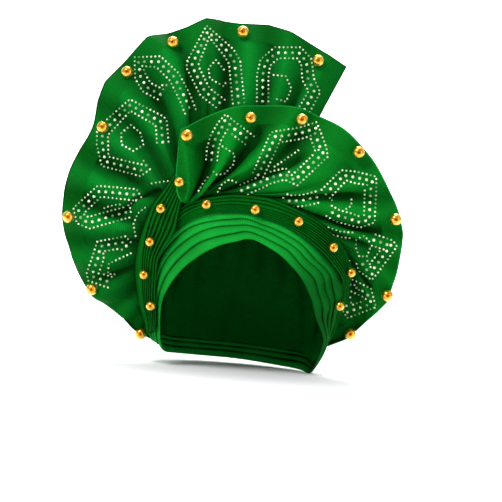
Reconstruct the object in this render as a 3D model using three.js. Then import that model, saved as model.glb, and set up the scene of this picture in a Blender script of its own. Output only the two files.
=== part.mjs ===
// Tied head tie (gele) in pleated green brocade, worn form, millimetres, +Z up.
// The origin is the spot of the crown cap's inside that rests on the top of the head.
// The face opening looks towards -Y, and +X is the viewer's right.
import * as THREE from "three";

// Cloth thickness of each piece: one stiff layer in the fans, several stacked layers in the sashes.
const FAN_THICKNESS = 1.2;
const BAND_THICKNESS = 1.6;
const SASH_THICKNESS = 1.8;
const CAP_THICKNESS = 1.6;

// Pleats: how many lie across a piece and how far each one stands up from the cloth.
const BAND_PLEATS = 4;
const BAND_PLEAT_HEIGHT = 1.5;
const SASH_PLEATS = 6;
const SASH_PLEAT_HEIGHT = 0.8;
const BAND_BULGE = 2.2;
const SASH_BULGE = 2.0;

// Gold beads: the larger ones sit near the fan rims, the smaller ones on the sashes.
const RIM_BEAD_RADIUS = 5.5;
const SASH_BEAD_RADIUS = 4.5;
const BEAD_GAP = 0.3;
const BEAD_SIDES = 10;
const BEAD_RINGS = 7;

// Head form that the crown cap lies on: half width, half depth, height above and below its widest level.
const HEAD_HALF_WIDTH = 77;
const HEAD_HALF_DEPTH = 96;
const HEAD_RISE = 85;
const HEAD_DROP = 120;
const HEAD_ROUNDNESS = 2.2;
const CAP_CLEARANCE = 0.2;
const CAP_SETTLE = 0.55;
const CAP_POLE = new THREE.Vector3(0, 0.42, 0.91).normalize();

// Grid of each cloth body: columns run along the piece, rows run across it.
const CAP_COLUMNS = 33;
const CAP_ROWS = 7;
const BAND_COLUMNS = 50;
const BAND_ROWS = 2 * BAND_PLEATS;
const SASH_ROWS = 2 * SASH_PLEATS;
const FAN_COLUMNS_PER_FOLD = 2;
const FAN_ROWS = 8;

// A bead comes in from the front, from this depth, until it is this close to its place on the cloth.
const BEAD_START_DEPTH = -140;
const BEAD_STEPS = 400;
const BEAD_TOLERANCE = 0.01;

const CLOTH_GREEN = 0x0b5a1e;
const BAND_GREEN = 0x1d8a32;
const SASH_GREEN = 0x0a4416;
const BEAD_GOLD = 0xe0a63a;

// Forehead band: one row per station round the head, from the left temple over the
// forehead to the right temple, then round the nape and back. inner is the edge on the skin.
const BAND_STATIONS = [
  { inner: [-69.5, -30.5, -135], outer: [-81, -5, -132] },
  { inner: [-71, -36, -120], outer: [-82.5, -8, -119.5] },
  { inner: [-71.5, -41, -105], outer: [-84.5, -12, -105.5] },
  { inner: [-70, -47.5, -95], outer: [-86.5, -18, -91.5] },
  { inner: [-66.5, -55.5, -86], outer: [-87, -26, -77.5] },
  { inner: [-60.5, -65, -75], outer: [-86, -37, -61.5] },
  { inner: [-52.5, -73, -64.5], outer: [-80, -50, -45.5] },
  { inner: [-41.5, -79, -54.5], outer: [-68, -64, -29.5] },
  { inner: [-32.5, -82, -47.5], outer: [-53, -77, -18] },
  { inner: [-21.5, -83, -41.5], outer: [-35.5, -84, -12] },
  { inner: [-9, -83.5, -37.5], outer: [-18, -86, -10] },
  { inner: [0, -83, -34.5], outer: [-3, -86.5, -9.5] },
  { inner: [9, -82.5, -35.5], outer: [12.5, -86, -13] },
  { inner: [21, -83, -41], outer: [30.5, -84.5, -18] },
  { inner: [31.5, -82, -47], outer: [49.5, -81, -27] },
  { inner: [41, -80, -55], outer: [65.5, -75, -37.5] },
  { inner: [50, -75.5, -64], outer: [77.5, -67, -49] },
  { inner: [57, -69.5, -74.5], outer: [86.5, -58, -60] },
  { inner: [62.5, -63, -84.5], outer: [90.5, -50, -71.5] },
  { inner: [65, -57, -93], outer: [90, -42, -82] },
  { inner: [68.5, -49, -102], outer: [88.5, -33, -92.5] },
  { inner: [73.5, -36, -112], outer: [85, -20, -106.5] },
  { inner: [77, -20, -123], outer: [82, -4, -120.5] },
  { inner: [75, 2, -138.5], outer: [77, 16, -136.5] },
  { inner: [69, 26, -155], outer: [76, 40, -141] },
  { inner: [60, 54, -155], outer: [67, 63, -133] },
  { inner: [36, 76, -154], outer: [41, 87, -132] },
  { inner: [0, 86, -152], outer: [0, 96.5, -131] },
  { inner: [-36, 76, -151], outer: [-42, 86, -130] },
  { inner: [-58, 50, -149], outer: [-68, 59, -128] },
  { inner: [-67, 18, -146], outer: [-78, 28, -125] },
];

// Right sash: from the crossing above the left brow over the forehead, down the right side, to the nape.
const RIGHT_SASH_STATIONS = [
  { inner: [-62, -73, -33.5], outer: [-59, -78, -10] },
  { inner: [-55, -79.5, -27], outer: [-52.5, -82, -5.5] },
  { inner: [-48, -85, -21.5], outer: [-44.5, -84.5, -3] },
  { inner: [-35, -88.5, -16.5], outer: [-31.5, -86, 0] },
  { inner: [-18.5, -90, -13.5], outer: [-15, -86, 3] },
  { inner: [-3, -90.5, -13], outer: [4, -85.5, 3] },
  { inner: [13.5, -90, -16], outer: [21.5, -84, 1.5] },
  { inner: [31.5, -88, -21], outer: [45, -78, -6.5] },
  { inner: [50, -86.5, -30], outer: [64, -69, -16] },
  { inner: [65.5, -81, -41], outer: [79, -58, -27] },
  { inner: [77.5, -73.5, -52], outer: [89.5, -47, -39] },
  { inner: [87, -63, -63.5], outer: [96, -36, -53] },
  { inner: [93, -49, -71.5], outer: [96.5, -27, -66] },
  { inner: [90, -35, -82.5], outer: [95.5, -17, -79.5] },
  { inner: [87, -25, -94], outer: [93, -7, -92] },
  { inner: [84, -11, -108], outer: [90, 5, -107] },
  { inner: [81, 6, -122], outer: [86.5, 20, -121.5] },
  { inner: [83, 22, -128.5], outer: [86, 30, -111.5] },
  { inner: [78, 48, -128], outer: [81, 53, -111] },
  { inner: [62.5, 76, -128], outer: [64.5, 80, -111] },
  { inner: [36, 95, -127.5], outer: [37.5, 98.5, -111] },
  { inner: [3.5, 102, -127.5], outer: [3.5, 105, -111] },
];

// Left sash: from under the crossing down the left side to the nape.
const LEFT_SASH_STATIONS = [
  { inner: [-57, -86, -2], outer: [-62.5, -85, 28.5] },
  { inner: [-61, -85, -9.5], outer: [-69.5, -84, 16.5] },
  { inner: [-62.5, -83.5, -19.5], outer: [-78, -80, 1.5] },
  { inner: [-63.5, -80, -29], outer: [-86.5, -72, -11.5] },
  { inner: [-66.5, -75, -38.5], outer: [-92.5, -60, -28.5] },
  { inner: [-72.5, -68.5, -50], outer: [-96, -53, -40] },
  { inner: [-77, -62, -59], outer: [-99, -44.5, -53.5] },
  { inner: [-78.5, -55.5, -70], outer: [-100, -37, -65.5] },
  { inner: [-78.5, -49, -82], outer: [-99.5, -28.5, -79] },
  { inner: [-78, -43.5, -97], outer: [-97, -20, -93.5] },
  { inner: [-76.5, -41, -105.5], outer: [-94.5, -13, -105.5] },
  { inner: [-75.5, -39.5, -115], outer: [-88.5, -6, -120] },
  { inner: [-77, -40, -125], outer: [-85, -2, -128] },
  { inner: [-87, -2, -126], outer: [-90, 18, -113] },
  { inner: [-82.5, 29, -127.5], outer: [-85.5, 37, -111] },
  { inner: [-74, 61, -127.5], outer: [-76, 66, -111] },
  { inner: [-56, 84, -127.5], outer: [-57.5, 88, -111] },
  { inner: [-29.5, 98.5, -127.5], outer: [-30.5, 101.5, -111] },
  { inner: [-3.5, 102, -127.5], outer: [-3.5, 105, -111] },
];

// Edge of the crown cap, tucked behind the fans and the sashes in front and behind the band at the nape.
const CAP_STATIONS = [
  { edge: [-78.5, -3, -132.5] },
  { edge: [-79.5, -7, -118.5] },
  { edge: [-88, -9, -106] },
  { edge: [-91, -24.5, -92.5] },
  { edge: [-91, -35.5, -80] },
  { edge: [-91.5, -43, -65.5] },
  { edge: [-89.5, -50, -50] },
  { edge: [-86.5, -58.5, -36] },
  { edge: [-80, -68, -19] },
  { edge: [-72, -75, -7] },
  { edge: [-60, -78, -7.5] },
  { edge: [-45, -79, -12] },
  { edge: [-28, -80, -9] },
  { edge: [-8.5, -80, -7] },
  { edge: [10, -79, -7.5] },
  { edge: [29, -77.5, -8] },
  { edge: [47, -73, -14] },
  { edge: [63.5, -64.5, -23] },
  { edge: [78, -54, -36] },
  { edge: [86, -45.5, -49] },
  { edge: [89.5, -41, -59] },
  { edge: [87.5, -40, -71.5] },
  { edge: [85.5, -36, -81.5] },
  { edge: [84, -25.5, -93] },
  { edge: [80.5, -15, -106.5] },
  { edge: [78, 2, -124.5] },
  { edge: [74, 13.5, -136.5] },
  { edge: [71.5, 34, -144.5] },
  { edge: [63, 58.5, -139.5] },
  { edge: [38.5, 81, -138.5] },
  { edge: [0, 90.5, -137] },
  { edge: [-39, 80.5, -136] },
  { edge: [-63, 54.5, -134] },
  { edge: [-72, 24, -131] },
];

// Front fan: one row per fold line, from the folded left edge clockwise to the lower right end.
// root is where the cloth leaves the sash, belly is half way out and rim is the free edge.
const FRONT_FAN_FOLDS = [
  { root: [-60.5, -93, -7], belly: [-69.5, -95, 12.5], rim: [-66, -89, 55] },
  { root: [-58, -94, -8], belly: [-55.5, -98, 18.5], rim: [-62.5, -93, 58] },
  { root: [-55, -92.5, -8.5], belly: [-41, -85, 17], rim: [-46.5, -78, 69.5] },
  { root: [-52.5, -92, -7], belly: [-27.5, -96, 30], rim: [-20, -89, 80] },
  { root: [-49, -90, -4], belly: [-12.5, -82, 39], rim: [12, -72, 85.5] },
  { root: [-44.5, -88.5, -0.5], belly: [-0.5, -91, 33.5], rim: [36, -82, 84.5] },
  { root: [-38.5, -86.5, 1], belly: [10.5, -80, 26.5], rim: [52, -70, 80.5] },
  { root: [-31.5, -86, 2.5], belly: [28, -88, 22], rim: [78.5, -78, 69] },
  { root: [-20, -85, 4], belly: [43, -81, 15], rim: [103.5, -67, 48] },
  { root: [-7, -84.5, 5], belly: [47.5, -82, 10.5], rim: [116.5, -70, 30] },
  { root: [6.5, -83, 3], belly: [60, -72, 6], rim: [127.5, -54, 14.5] },
  { root: [22, -81.5, -0.5], belly: [67, -75, -1.5], rim: [135, -61, -2.5] },
  { root: [36.5, -77.5, -5], belly: [83, -62, -15], rim: [140.5, -46, -16.5] },
  { root: [52, -71.5, -11], belly: [94.5, -60, -24], rim: [140, -53, -32] },
  { root: [67, -63.5, -20], belly: [104.5, -47, -37], rim: [140, -36, -48.5] },
  { root: [83.5, -50, -31], belly: [113.5, -42, -49], rim: [136.5, -40, -65] },
  { root: [92.5, -39, -42], belly: [117, -31, -67], rim: [133.5, -26, -81.5] },
  { root: [97.5, -31.5, -54], belly: [117, -27, -80], rim: [125.5, -28, -91.5] },
  { root: [98, -22.5, -67], belly: [114.5, -16, -89], rim: [118, -17, -100.5] },
  { root: [97, -12.5, -80.5], belly: [109.5, -7, -98], rim: [109, -11, -111] },
  { root: [94.5, -2.5, -93.5], belly: [103.5, 0, -108.5], rim: [100, -4, -119.5] },
  { root: [93.5, 12, -109], belly: [98.5, 8.5, -117.5], rim: [94, 5, -123] },
  { root: [91, 27, -123], belly: [91, 22.5, -124.5], rim: [89.5, 17.5, -125.5] },
];

// Back fan: one row per fold line, from the lower left end clockwise to the straight right edge.
const BACK_FAN_FOLDS = [
  { root: [-85.5, 4, -129], belly: [-83.5, 5, -133], rim: [-80.5, 6, -136] },
  { root: [-90.5, -2, -121.5], belly: [-91.5, -3, -128], rim: [-88.5, -3, -132] },
  { root: [-92, -7.5, -109.5], belly: [-99, -9, -122], rim: [-95, -8, -128.5] },
  { root: [-94, -14.5, -99], belly: [-106.5, -16, -112], rim: [-106.5, -15, -118.5] },
  { root: [-96, -20, -88.5], belly: [-115.5, -17, -102.5], rim: [-126, -8, -106.5] },
  { root: [-97.5, -26, -77.5], belly: [-123.5, -29, -94.5], rim: [-138, -23, -99] },
  { root: [-97.5, -32.5, -67.5], belly: [-130, -27, -81.5], rim: [-151, -15, -82.5] },
  { root: [-96.5, -39.5, -57.5], belly: [-132, -41, -65.5], rim: [-158.5, -33, -64.5] },
  { root: [-95, -46, -48.5], belly: [-131, -38, -49], rim: [-167.5, -22, -46] },
  { root: [-93, -52, -38.5], belly: [-127.5, -51, -32.5], rim: [-170, -40, -27] },
  { root: [-89.5, -59, -28], belly: [-118, -46, -22], rim: [-171.5, -28, -5.5] },
  { root: [-85.5, -66.5, -17], belly: [-111, -61, -4], rim: [-166, -47, 13] },
  { root: [-81.5, -72, -9], belly: [-106.5, -55, 10], rim: [-160, -34, 33] },
  { root: [-76.5, -77.5, -1], belly: [-105.5, -67, 28.5], rim: [-148, -52, 54] },
  { root: [-72.5, -79.5, 5], belly: [-101, -60, 45.5], rim: [-147, -38, 78.5] },
  { root: [-69, -81, 11.5], belly: [-96.5, -68, 61.5], rim: [-140.5, -52, 95] },
  { root: [-65.5, -81, 13.5], belly: [-91, -60, 84.5], rim: [-128.5, -38, 112.5] },
  { root: [-61.5, -81, 8.5], belly: [-74.5, -66, 97], rim: [-106.5, -50, 139] },
  { root: [-56.5, -80.5, 2.5], belly: [-65, -60, 99.5], rim: [-90, -38, 145] },
  { root: [-51, -80, -4], belly: [-51, -64, 96.5], rim: [-70, -47, 152.5] },
  { root: [-44, -81, -7], belly: [-42, -60, 101.5], rim: [-55, -38, 162.5] },
  { root: [-35.5, -81.5, -5.5], belly: [-29.5, -56, 103], rim: [-40.5, -31, 162.5] },
  { root: [-26.5, -82, -4], belly: [-12, -64, 100], rim: [-20.5, -45, 159.5] },
  { root: [-18, -82, -2.5], belly: [3, -56, 97.5], rim: [3, -30, 162.5] },
  { root: [-9, -82, -2], belly: [15.5, -60, 95.5], rim: [22.5, -41, 157] },
  { root: [0, -81.5, -2.5], belly: [29, -54, 89], rim: [43, -29, 148.5] },
  { root: [9, -81, -3], belly: [37.5, -58, 83], rim: [61, -37, 138.5] },
  { root: [18, -80, -4.5], belly: [47.5, -54, 63.5], rim: [77, -28, 131] },
];

// Beads, given by where they show from the front; each one is laid on the cloth behind that spot.
const BACK_FAN_BEADS = [
  { x: -163, z: -29 },
  { x: -138, z: -93 },
  { x: -91, z: -131 },
  { x: -138, z: 54 },
  { x: -121, z: 106 },
  { x: -82, z: 136 },
  { x: -20, z: 151 },
  { x: 50, z: 132 },
];
const FRONT_FAN_BEADS = [
  { x: -60, z: 50 },
  { x: -6, z: 71 },
  { x: 39, z: 74 },
  { x: 92, z: 50 },
  { x: 131, z: -6 },
  { x: 132, z: -75 },
  { x: 103, z: -114 },
];
const LEFT_SASH_BEADS = [
  { x: -63, z: 9 },
  { x: -78, z: -15 },
  { x: -86, z: -45 },
  { x: -90, z: -75 },
  { x: -82, z: -103 },
];
const RIGHT_SASH_BEADS = [
  { x: -38, z: -8 },
  { x: 5, z: -9 },
  { x: 44, z: -16 },
  { x: 77, z: -36 },
  { x: 96, z: -57 },
  { x: 89, z: -88 },
];

const toVector = (p) => new THREE.Vector3(p[0], p[1], p[2]);

// Smooth curve value through four neighbouring points, t runs from b to c.
function smoothBetween(a, b, c, d, t) {
  const t2 = t * t;
  const t3 = t2 * t;
  return new THREE.Vector3()
    .addScaledVector(a, -0.5 * t3 + t2 - 0.5 * t)
    .addScaledVector(b, 1.5 * t3 - 2.5 * t2 + 1)
    .addScaledVector(c, -1.5 * t3 + 2 * t2 + 0.5 * t)
    .addScaledVector(d, 0.5 * t3 - 0.5 * t2);
}

// Point on the smooth line through one column of a table, at station u.
function alongTable(count, closed, u, pointAt) {
  const low = Math.min(Math.floor(u), closed ? count - 1 : count - 2);
  const pick = (i) => pointAt(closed ? (i + count) % count : Math.max(0, Math.min(count - 1, i)));
  return smoothBetween(pick(low - 1), pick(low), pick(low + 1), pick(low + 2), u - low);
}

function stripPoint(stations, closed, u, v) {
  const inner = alongTable(stations.length, closed, u, (i) => toVector(stations[i].inner));
  const outer = alongTable(stations.length, closed, u, (i) => toVector(stations[i].outer));
  return inner.lerp(outer, v);
}

// Point on one fold line of a fan: a parabola through root, belly and rim.
function foldPoint(fold, t) {
  return new THREE.Vector3()
    .addScaledVector(toVector(fold.root), (1 - t) * (1 - 2 * t))
    .addScaledVector(toVector(fold.belly), 4 * t * (1 - t))
    .addScaledVector(toVector(fold.rim), t * (2 * t - 1));
}

function fanPoint(folds, u, t) {
  return alongTable(folds.length, false, u, (i) => foldPoint(folds[i], t));
}

// Distance from the middle of the head to the head form in a direction.
function headRadius(direction) {
  const rise = direction.z > 0 ? HEAD_RISE : HEAD_DROP;
  const sum = Math.abs(direction.x / HEAD_HALF_WIDTH) ** HEAD_ROUNDNESS
    + Math.abs(direction.y / HEAD_HALF_DEPTH) ** HEAD_ROUNDNESS
    + Math.abs(direction.z / rise) ** HEAD_ROUNDNESS;
  return sum ** (-1 / HEAD_ROUNDNESS);
}

// Point on the crown cap: from its edge (v = 0) to its crown (v = 1).
function capPoint(u, v) {
  const middle = new THREE.Vector3(0, 0, -HEAD_RISE);
  const edge = alongTable(CAP_STATIONS.length, true, u, (i) => toVector(CAP_STATIONS[i].edge)).sub(middle);
  const edgeRadius = edge.length();
  const from = edge.normalize();
  const angle = from.angleTo(CAP_POLE);
  const direction = new THREE.Vector3()
    .addScaledVector(from, Math.sin((1 - v) * angle) / Math.sin(angle))
    .addScaledVector(CAP_POLE, Math.sin(v * angle) / Math.sin(angle))
    .normalize();
  const rest = headRadius(direction) + CAP_CLEARANCE + CAP_THICKNESS / 2;
  const settle = THREE.MathUtils.smoothstep(v, 0, CAP_SETTLE);
  return direction.multiplyScalar(edgeRadius + (rest - edgeRadius) * settle).add(middle);
}

// Closed cloth body round a middle surface. surface(i, j) gives the points of a grid with
// columns + 1 by rows + 1 points, lift(i, j) moves them along the cloth's face normal.
function clothBody({ columns, rows, closed = false, pole = false, thickness, facing, surface, lift }) {
  const columnCount = closed ? columns : columns + 1;
  const wrap = (i) => (closed ? (i + columns) % columns : Math.max(0, Math.min(columns, i)));
  const clampRow = (j) => Math.max(0, Math.min(rows, j));
  let grid = Array.from({ length: columnCount }, (_, i) => Array.from({ length: rows + 1 }, (_, j) => surface(i, j)));
  const normalAt = (points, i, j) => {
    const across = points[wrap(i + 1)][j].clone().sub(points[wrap(i - 1)][j]);
    if (pole && j === rows) {
      return facing(points[i][j]).clone().normalize();
    }
    const up = points[i][clampRow(j + 1)].clone().sub(points[i][clampRow(j - 1)]);
    const normal = across.cross(up).normalize();
    return normal.dot(facing(points[i][j])) < 0 ? normal.negate() : normal;
  };
  if (lift) {
    grid = grid.map((line, i) => line.map((p, j) => p.clone().addScaledVector(normalAt(grid, i, j), lift(i, j))));
  }
  const positions = [];
  const addPoint = (p) => positions.push(p.x, p.y, p.z) / 3 - 1;
  const layers = [0.5, -0.5].map((side) => {
    const poleIndex = pole
      ? addPoint(grid[0][rows].clone().addScaledVector(normalAt(grid, 0, rows), side * thickness))
      : -1;
    return grid.map((line, i) => line.map((p, j) => {
      if (pole && j === rows) {
        return poleIndex;
      }
      return addPoint(p.clone().addScaledVector(normalAt(grid, i, j), side * thickness));
    }));
  });
  const [face, lining] = layers;
  const triangles = [];
  const addTriangle = (a, b, c) => {
    if (a !== b && b !== c && a !== c) {
      triangles.push(a, b, c);
    }
  };
  const addQuad = (a, b, c, d) => {
    addTriangle(a, b, c);
    addTriangle(a, c, d);
  };
  for (let i = 0; i < columns; i += 1) {
    const next = wrap(i + 1);
    for (let j = 0; j < rows; j += 1) {
      addQuad(face[i][j], face[next][j], face[next][j + 1], face[i][j + 1]);
      addQuad(lining[i][j], lining[i][j + 1], lining[next][j + 1], lining[next][j]);
    }
    addQuad(lining[i][0], lining[next][0], face[next][0], face[i][0]);
    if (!pole) {
      addQuad(face[i][rows], face[next][rows], lining[next][rows], lining[i][rows]);
    }
  }
  if (!closed) {
    for (let j = 0; j < rows; j += 1) {
      addQuad(lining[0][j], face[0][j], face[0][j + 1], lining[0][j + 1]);
      addQuad(face[columns][j], lining[columns][j], lining[columns][j + 1], face[columns][j + 1]);
    }
  }
  return outwardGeometry(positions, triangles);
}

// Geometry from points and triangles, turned so that its faces look out of the body.
function outwardGeometry(positions, triangles) {
  const corner = (k) => new THREE.Vector3(positions[3 * k], positions[3 * k + 1], positions[3 * k + 2]);
  let volume = 0;
  for (let k = 0; k < triangles.length; k += 3) {
    volume += corner(triangles[k]).dot(corner(triangles[k + 1]).cross(corner(triangles[k + 2]))) / 6;
  }
  const index = volume < 0 ? triangles.slice().reverse() : triangles;
  const geometry = new THREE.BufferGeometry();
  geometry.setAttribute("position", new THREE.Float32BufferAttribute(positions, 3));
  geometry.setIndex(index);
  geometry.computeVertexNormals();
  return geometry;
}

const awayFromHead = (p) => new THREE.Vector3(p.x, p.y, p.z + HEAD_RISE);
const towardsFace = () => new THREE.Vector3(0, -1, 0);

// Strip of stacked pleats between the inner and the outer edge of a station table.
function pleatedStrip({ stations, closed, columns, rows, thickness, pleats, pleatHeight, bulge }) {
  const span = closed ? stations.length : stations.length - 1;
  return clothBody({
    columns,
    rows,
    closed,
    thickness,
    facing: awayFromHead,
    surface: (i, j) => stripPoint(stations, closed, (i / columns) * span, j / rows),
    lift: (i, j) => {
      const v = j / rows;
      const ridge = 0.5 - 0.5 * Math.cos(2 * Math.PI * pleats * v);
      return bulge * 4 * v * (1 - v) + pleatHeight * ridge;
    },
  });
}

function fan(folds) {
  return clothBody({
    columns: (folds.length - 1) * FAN_COLUMNS_PER_FOLD,
    rows: FAN_ROWS,
    thickness: FAN_THICKNESS,
    facing: towardsFace,
    surface: (i, j) => fanPoint(folds, i / FAN_COLUMNS_PER_FOLD, j / FAN_ROWS),
  });
}

const fabric = (color) => new THREE.MeshStandardMaterial({ color, roughness: 0.7, metalness: 0 });

const gele = new THREE.Group();
gele.name = "gele";

function addPiece(name, geometry, material) {
  const mesh = new THREE.Mesh(geometry, material);
  mesh.name = name;
  gele.add(mesh);
  return mesh;
}

addPiece("crown_cap", clothBody({
  columns: CAP_COLUMNS,
  rows: CAP_ROWS,
  closed: true,
  pole: true,
  thickness: CAP_THICKNESS,
  facing: awayFromHead,
  surface: (i, j) => capPoint((i / CAP_COLUMNS) * CAP_STATIONS.length, j / CAP_ROWS),
}), fabric(CLOTH_GREEN));

addPiece("forehead_band", pleatedStrip({
  stations: BAND_STATIONS,
  closed: true,
  columns: BAND_COLUMNS,
  rows: BAND_ROWS,
  thickness: BAND_THICKNESS,
  pleats: BAND_PLEATS,
  pleatHeight: BAND_PLEAT_HEIGHT,
  bulge: BAND_BULGE,
}), fabric(BAND_GREEN));

for (const [name, stations] of [["right_sash", RIGHT_SASH_STATIONS], ["left_sash", LEFT_SASH_STATIONS]]) {
  addPiece(name, pleatedStrip({
    stations,
    closed: false,
    columns: stations.length + 1,
    rows: SASH_ROWS,
    thickness: SASH_THICKNESS,
    pleats: SASH_PLEATS,
    pleatHeight: SASH_PLEAT_HEIGHT,
    bulge: SASH_BULGE,
  }), fabric(SASH_GREEN));
}

addPiece("back_fan", fan(BACK_FAN_FOLDS), fabric(CLOTH_GREEN));
addPiece("front_fan", fan(FRONT_FAN_FOLDS), fabric(CLOTH_GREEN));

// Triangles of all the cloth, which the beads are laid on.
const clothTriangles = [];
for (const mesh of gele.children) {
  const position = mesh.geometry.getAttribute("position");
  const index = mesh.geometry.getIndex();
  for (let k = 0; k < index.count; k += 3) {
    const [a, b, c] = [0, 1, 2].map((n) => new THREE.Vector3().fromBufferAttribute(position, index.getX(k + n)));
    clothTriangles.push(new THREE.Triangle(a, b, c));
  }
}

// Depth at which a ball that comes from the front just rests on the cloth.
function restingDepth(x, z, radius) {
  const reach = radius + BEAD_GAP;
  const nearby = clothTriangles.filter((t) => Math.min(t.a.x, t.b.x, t.c.x) < x + reach
    && Math.max(t.a.x, t.b.x, t.c.x) > x - reach
    && Math.min(t.a.z, t.b.z, t.c.z) < z + reach
    && Math.max(t.a.z, t.b.z, t.c.z) > z - reach);
  const centre = new THREE.Vector3(x, BEAD_START_DEPTH, z);
  const nearest = new THREE.Vector3();
  for (let step = 0; step < BEAD_STEPS; step += 1) {
    let clearance = Infinity;
    for (const triangle of nearby) {
      triangle.closestPointToPoint(centre, nearest);
      clearance = Math.min(clearance, nearest.distanceTo(centre) - reach);
    }
    if (clearance < BEAD_TOLERANCE) {
      break;
    }
    centre.y += clearance;
  }
  return centre.y;
}

const gold = new THREE.MeshStandardMaterial({ color: BEAD_GOLD, roughness: 0.2, metalness: 1 });
const beadSets = [
  { prefix: "back_fan_bead", places: BACK_FAN_BEADS, radius: RIM_BEAD_RADIUS },
  { prefix: "front_fan_bead", places: FRONT_FAN_BEADS, radius: RIM_BEAD_RADIUS },
  { prefix: "left_sash_bead", places: LEFT_SASH_BEADS, radius: SASH_BEAD_RADIUS },
  { prefix: "right_sash_bead", places: RIGHT_SASH_BEADS, radius: SASH_BEAD_RADIUS },
];
for (const { prefix, places, radius } of beadSets) {
  places.forEach(({ x, z }, k) => {
    const geometry = new THREE.SphereGeometry(radius, BEAD_SIDES, BEAD_RINGS);
    geometry.translate(x, restingDepth(x, z, radius), z);
    addPiece(`${prefix}_${k + 1}`, geometry, gold.clone());
  });
}

export default gele;
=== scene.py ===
import math
import bpy
import numpy as np
from mathutils import Matrix, Vector
from mathutils.bvhtree import BVHTree


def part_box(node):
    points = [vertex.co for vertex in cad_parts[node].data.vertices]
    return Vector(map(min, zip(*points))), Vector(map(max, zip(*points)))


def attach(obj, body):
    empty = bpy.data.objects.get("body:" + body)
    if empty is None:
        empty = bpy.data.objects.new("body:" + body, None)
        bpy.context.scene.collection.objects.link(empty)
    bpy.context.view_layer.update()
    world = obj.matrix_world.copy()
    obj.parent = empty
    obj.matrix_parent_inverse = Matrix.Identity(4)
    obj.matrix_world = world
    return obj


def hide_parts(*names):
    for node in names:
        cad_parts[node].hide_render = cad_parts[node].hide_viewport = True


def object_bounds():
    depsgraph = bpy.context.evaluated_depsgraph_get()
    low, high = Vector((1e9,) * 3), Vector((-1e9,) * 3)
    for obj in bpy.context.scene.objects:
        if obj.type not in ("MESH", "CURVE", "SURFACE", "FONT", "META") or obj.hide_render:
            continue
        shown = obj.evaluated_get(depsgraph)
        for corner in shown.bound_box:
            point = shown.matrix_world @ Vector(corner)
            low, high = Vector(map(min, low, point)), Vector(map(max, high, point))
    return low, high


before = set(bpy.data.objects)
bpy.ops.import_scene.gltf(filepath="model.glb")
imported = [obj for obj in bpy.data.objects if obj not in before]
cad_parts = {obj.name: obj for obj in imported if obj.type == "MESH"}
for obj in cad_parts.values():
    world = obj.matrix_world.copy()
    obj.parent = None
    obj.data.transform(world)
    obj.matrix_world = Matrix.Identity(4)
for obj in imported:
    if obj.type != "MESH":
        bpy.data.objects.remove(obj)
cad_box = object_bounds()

# Crown cap: the middle of the stiff brocade, drawn over the top and the back of the head.
# Its loose ends are gathered behind the fans and under the sashes, and at the nape it goes
# down behind the band, which holds it to the head.
SAME_PLACE = 0.000002
SHARP_EDGE = math.radians(60)
CAP_CLOTH = 0.0012
CAP_COLUMNS = 264
CAP_ROWS = 40
CAP_CLEARANCE = 0.001
CAP_SETTLE = 0.55
CAP_GATHERS = 22
CAP_SMALL_GATHERS = 1.7 * CAP_GATHERS
CAP_GATHER_HEIGHT = 0.0009
CAP_GATHER_LIFT = 1.5
CAP_WANDER = 3
CAP_WANDER_TURNS = 2.3
HEAD_HALF_WIDTH = 0.077
HEAD_HALF_DEPTH = 0.096
HEAD_RISE = 0.085
HEAD_DROP = 0.120
HEAD_ROUNDNESS = 2.2
HEAD_MIDDLE = np.array((0.0, 0.0, -HEAD_RISE))
CROWN = np.array((0.0, 0.42, 0.91)) / math.hypot(0.42, 0.91)
CAP_FOLD_REACH = 4
CAP_FOLD_DEPTH = 0.0016
CAP_GATHER_SIDE = (-0.2, 0.5)
CAP_GATHER_RISE = (0.02, 0.3)
CAP_NAPE_SHARE = 0.35
CAP_NAPE_DRAWN_IN = 2.6
# The photo's view: the place of the camera and its lean, the photo's middle in pixels, and the
# size of a pixel at a distance, in metres. A place that is taken from the photo is given as its
# pixels across and down and its depth in millimetres. Depths, and places that are hidden, are
# chosen.
EYE = (0.0045, -1.46, -0.0455)
TILT = math.radians(5)
PHOTO_MIDDLE = 251
PIXEL = 0.0009
PIXEL_DISTANCE = 1.4
WHOLE_REACH = 0.26
# The cap's edge in front, hidden under the other pieces, as photo places, each with how many
# millimetres it is drawn in from there. Its two ends are in millimetres.
CAP_EDGE_FRONT = (
    (149, 322.5, -7.5, 2.6),
    (141, 307.5, -9.5, 3),
    (141, 292.5, -25, 2.6),
    (141, 279, -36.5, 3),
    (141, 263, -44.5, 3),
    (143.5, 245, -52, 4),
    (147.5, 229, -61, 4.6),
    (156, 210, -71, 5),
    (167, 191, -78, 5.4),
    (180, 190, -81, 5.2),
    (197, 199, -82, 4.6),
    (217, 199, -83, 4.6),
    (240, 202.5, -83.5, 4.6),
    (262, 205, -82.5, 4.6),
    (284, 208, -80.5, 4.2),
    (304, 217, -75.5, 4.2),
    (322, 229.5, -67, 4.2),
    (337, 246, -56, 4.4),
    (344.5, 261, -47.5, 4.6),
    (347.5, 273, -43, 4.8),
    (340, 289, -51, 2.6),
    (337.5, 300, -45, 2.6),
    (333.5, 312, -35, 2.6),
    (328, 326, -22, 2.6),
)
CAP_LEFT_END = ((-80.5, -1, -129, 1.2),)
CAP_RIGHT_END = ((80.8, 0, -128, 1.2), (75.8, 12, -142, 0.8))
# The band's inner and outer edge round the nape, in millimetres.
NAPE_EDGES = (
    ((69, 26, -155), (76, 40, -141)),
    ((60, 54, -155), (67, 63, -133)),
    ((36, 76, -154), (41, 87, -132)),
    ((0, 86, -152), (0, 96.5, -131)),
    ((-36, 76, -151), (-42, 86, -130)),
    ((-58, 50, -149), (-68, 59, -128)),
    ((-67, 18, -146), (-78, 28, -125)),
)


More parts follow.
